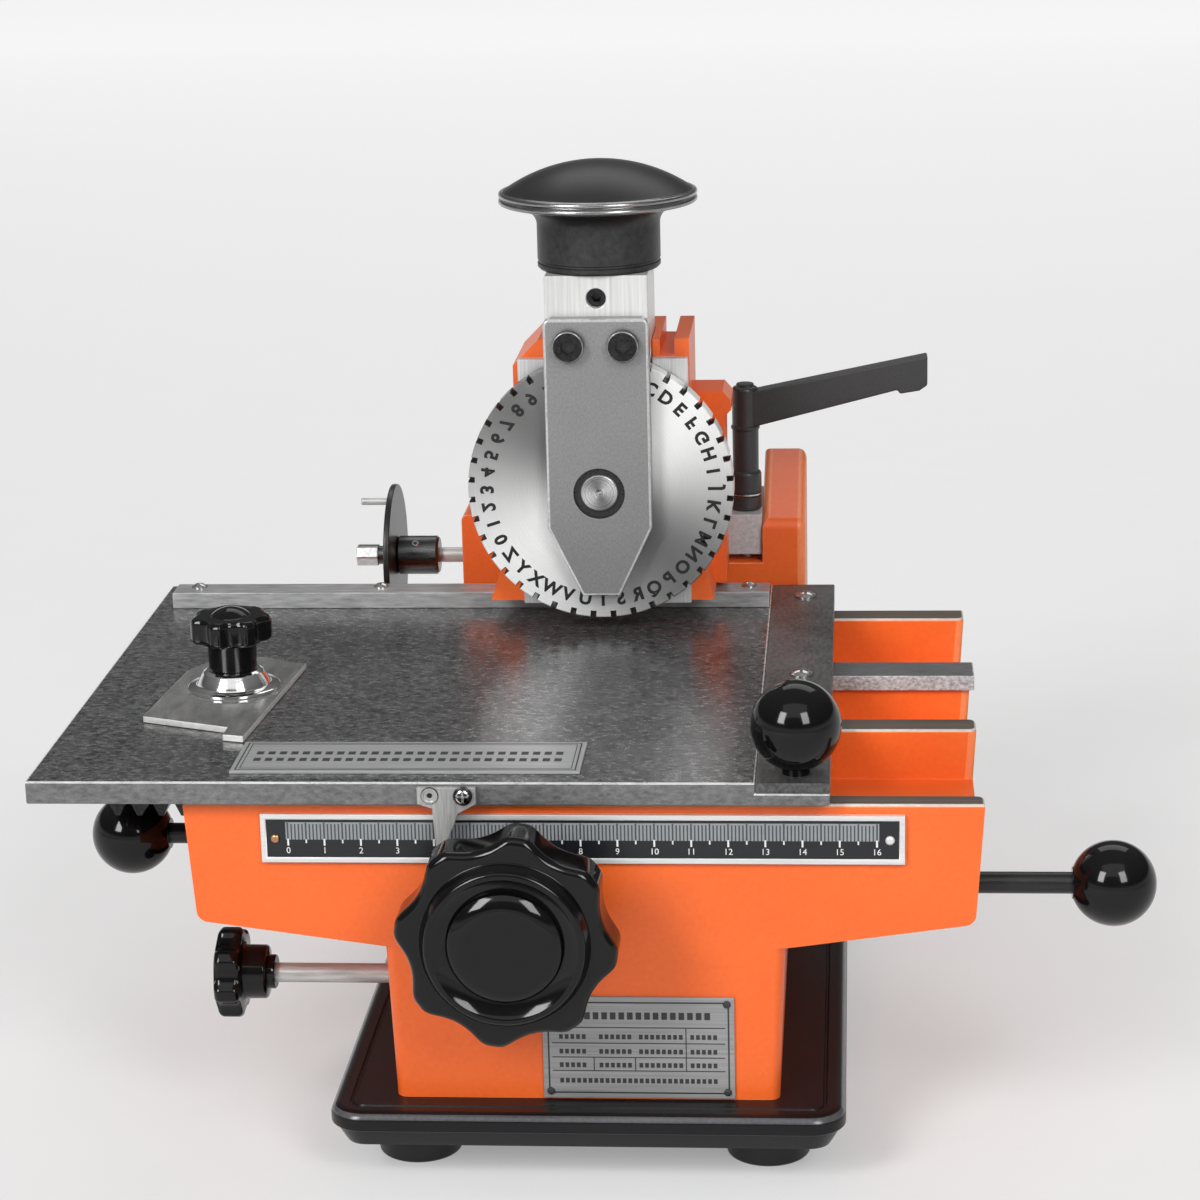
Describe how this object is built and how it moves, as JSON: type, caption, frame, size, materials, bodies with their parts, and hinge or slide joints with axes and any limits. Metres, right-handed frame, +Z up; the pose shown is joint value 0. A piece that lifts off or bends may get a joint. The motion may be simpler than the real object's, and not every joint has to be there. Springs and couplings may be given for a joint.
{
  "type": "nameplate embossing machine",
  "caption": "Hand nameplate embossing machine: a notched type wheel under a mushroom striker, over a sliding table moved by a lobed handwheel along a centimetre scale.",
  "frame": {"origin": "on the floor, under the middle of the overall box", "axes": "+X to the operator's right, +Y to the back, +Z up"},
  "size_m": [0.307, 0.295, 0.2618],
  "materials": {
    "orange_paint": "satin",
    "black_paint": "satin",
    "black_knob": "gloss",
    "foot_rubber": "matte",
    "ground_steel": "satin",
    "bright_steel": "satin",
    "dark_screw": "satin",
    "chrome": "polished",
    "plate_silver": "satin",
    "scale_print": "satin",
    "bronze": "satin"
  },
  "bodies": {
    "frame": {"base_plate": "black_paint", "rubber_feet": "foot_rubber", "foot_screws": "bright_steel", "body_casting": "orange_paint", "rear_column": "orange_paint", "column_bolts": "dark_screw", "guide_rail": "bright_steel", "rail_screws": "bright_steel", "ruler_bezel": "plate_silver", "ruler_scale": "scale_print", "plate_rivets": "bright_steel", "data_plate": "plate_silver", "shaft_bushes": "bronze", "keeper_bar": "bright_steel", "lock_stud": "bright_steel"},
    "lock_lever": {"lock_lever": "black_knob"},
    "handwheel": {"handwheel": "black_knob", "handwheel_cap": "black_knob", "pinion_shaft": "bright_steel", "drive_pinion": "ground_steel"},
    "table": {"table_plate": "ground_steel", "handle_strip": "ground_steel", "table_screws": "bright_steel", "ball_handle": "black_knob", "back_fence": "ground_steel", "fence_screws": "bright_steel", "instruction_plate": "plate_silver", "pointer": "bright_steel", "pointer_screws": "bright_steel", "table_gibs": "ground_steel", "gib_screws": "dark_screw", "feed_rack": "ground_steel"},
    "side_stop": {"side_stop": "bright_steel", "stop_cone": "chrome"},
    "clamp": {"clamp_knob": "black_knob", "clamp_stud": "bright_steel"},
    "head": {"head_casting": "orange_paint", "ram_guide_plate": "bright_steel", "guide_screws": "dark_screw", "line_rack": "ground_steel", "ram_spring": "bright_steel"},
    "ram": {"ram": "bright_steel", "striker_cap": "black_knob", "cap_set_screw": "dark_screw", "arm_plate": "bright_steel", "arm_screws": "dark_screw", "wheel_pin": "bright_steel"},
    "type_wheel": {"type_wheel": "bright_steel"},
    "crank": {"crank_shaft": "bright_steel", "crank_disc": "black_paint", "crank_hub": "black_paint", "crank_nut": "bright_steel", "line_pinion": "ground_steel"},
    "tension": {"tension_knob": "black_knob", "tension_shaft": "bright_steel"},
    "release": {"release_rod": "bright_steel", "release_ball": "black_knob"},
    "feed": {"feed_rod": "dark_screw", "feed_ball": "black_knob"}
  },
  "joints": [
    {"name": "table_slide", "type": "slide", "parent": "frame", "child": "table", "axis": [1, 0, 0], "range_m": [-0.041, 0.119]},
    {"name": "handwheel_turn", "type": "hinge", "parent": "frame", "child": "handwheel", "pos_m": [-0.0205, -0.1255, 0.0809], "axis": [0, 1, 0], "range_deg": [-148, 428]},
    {"name": "head_slide", "type": "slide", "parent": "frame", "child": "head", "axis": [0, 1, 0], "range_m": [-0.012, 0.008]},
    {"name": "crank_turn", "type": "hinge", "parent": "frame", "child": "crank", "pos_m": [-0.074, 0.1175, 0.1195], "axis": [1, 0, 0], "range_deg": [-84, 126]},
    {"name": "lever_turn", "type": "hinge", "parent": "frame", "child": "lock_lever", "pos_m": [0.0361, 0.1005, 0.16], "axis": [0, 0, 1], "range_deg": [-45, 60]},
    {"name": "ram_press", "type": "slide", "parent": "head", "child": "ram", "axis": [0, 0, 1], "range_m": [-0.004, 0], "stiffness_N_per_m": 3000, "springref_m": 0.012, "deforming": ["ram_spring"]},
    {"name": "wheel_spin", "type": "hinge", "parent": "ram", "child": "type_wheel", "pos_m": [-0.0063, 0.036, 0.1625], "axis": [0, 1, 0], "continuous": true},
    {"name": "stop_swing", "type": "hinge", "parent": "table", "child": "side_stop", "pos_m": [-0.1105, -0.0335, 0.118], "axis": [0, 0, 1], "range_deg": [-15, 0]},
    {"name": "clamp_turn", "type": "hinge", "parent": "table", "child": "clamp", "pos_m": [-0.1105, -0.0335, 0.13], "axis": [0, 0, 1], "range_deg": [-180, 180]},
    {"name": "tension_turn", "type": "hinge", "parent": "frame", "child": "tension", "pos_m": [-0.0935, -0.0795, 0.0478], "axis": [1, 0, 0], "range_deg": [-360, 360]},
    {"name": "release_slide", "type": "slide", "parent": "frame", "child": "release", "axis": [1, 0, 0], "range_m": [-0.012, 0.003]},
    {"name": "feed_slide", "type": "slide", "parent": "frame", "child": "feed", "axis": [1, 0, 0], "range_m": [-0.02, 0.01]}
  ],
  "couplings": [
    {"joint": "handwheel_turn", "follows": "table_slide", "rad_per_m": 62.5},
    {"joint": "crank_turn", "follows": "head_slide", "rad_per_m": -181.82}
  ]
}
